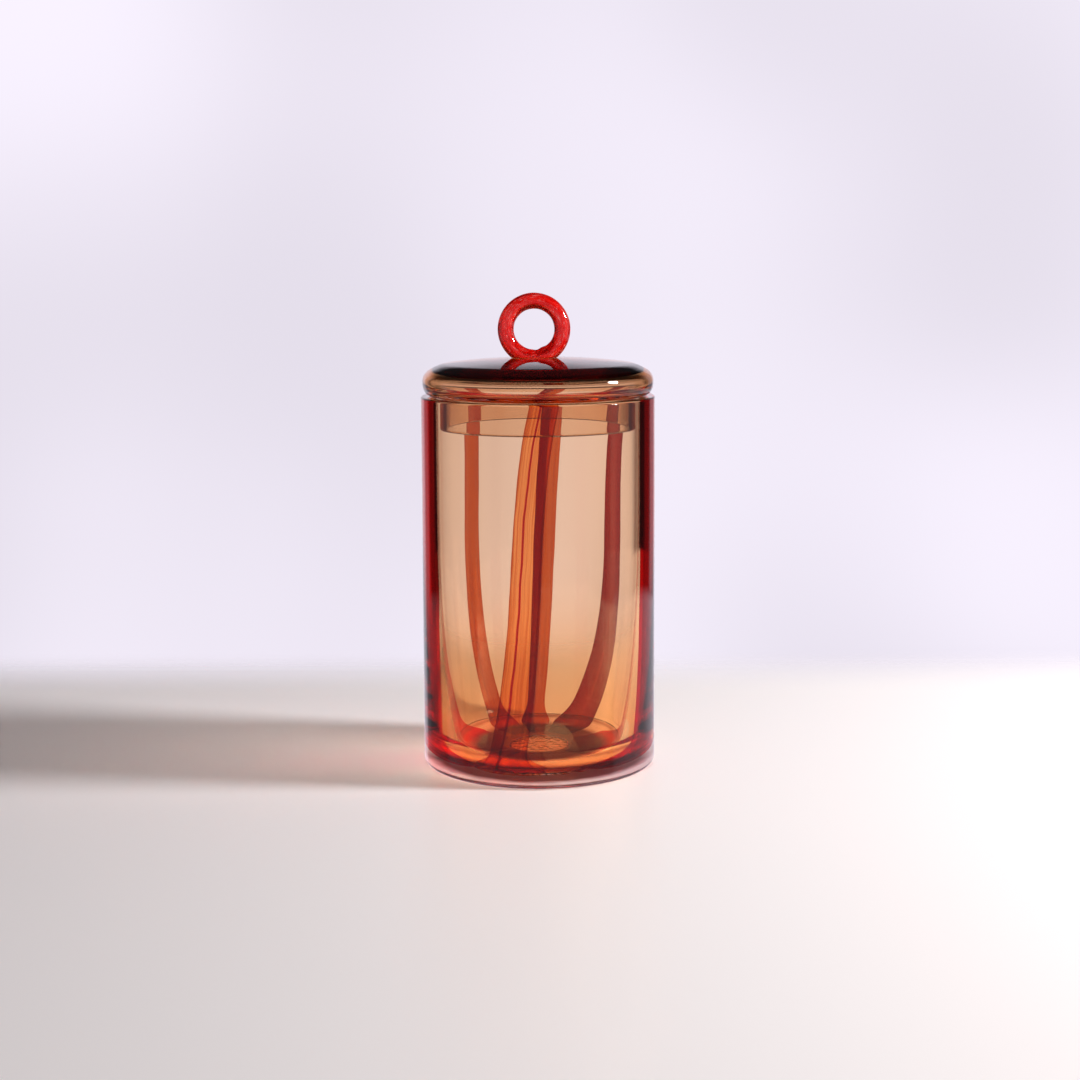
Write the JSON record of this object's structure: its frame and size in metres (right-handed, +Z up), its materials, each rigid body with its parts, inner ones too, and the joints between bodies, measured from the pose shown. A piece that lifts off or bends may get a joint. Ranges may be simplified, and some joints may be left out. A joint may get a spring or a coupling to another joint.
{
  "type": "lidded glass canister",
  "caption": "Cylindrical hand-blown glass canister with an amber liner, red and orange canes under a clear casing, and a lift-off amber lid with a red ring handle.",
  "frame": {"origin": "middle of the base, on the plane the jar stands on", "axes": "+Z up along the jar's axis; the ring handle's face and the slanted cane look towards -Y; +X to the right seen from the front"},
  "size_m": [0.11, 0.11, 0.2232],
  "materials": {
    "clear_glass": "clear, fire polished, rim and foot ground and polished",
    "liner_glass": "transparent amber, fire polished inside",
    "orange_cane": "translucent orange with lengthwise streaks, under the casing",
    "red_cane": "translucent deep red with lengthwise streaks, under the casing",
    "lid_glass": "transparent amber, fire polished",
    "ring_glass": "bright red glass with streaks and seeds, fire polished"
  },
  "bodies": {
    "jar": {"clear_casing": "clear_glass", "amber_liner": "liner_glass", "cane_front": "orange_cane", "cane_right": "red_cane", "cane_back_right": "red_cane", "cane_back": "red_cane", "cane_back_left": "orange_cane", "cane_left": "red_cane"},
    "lid": {"lid": "lid_glass", "ring_handle": "ring_glass"}
  },
  "joints": [
    {"name": "lid_lift", "type": "slide", "parent": "jar", "child": "lid", "axis": [0, 0, 1], "range_m": [0, 0.08]}
  ]
}
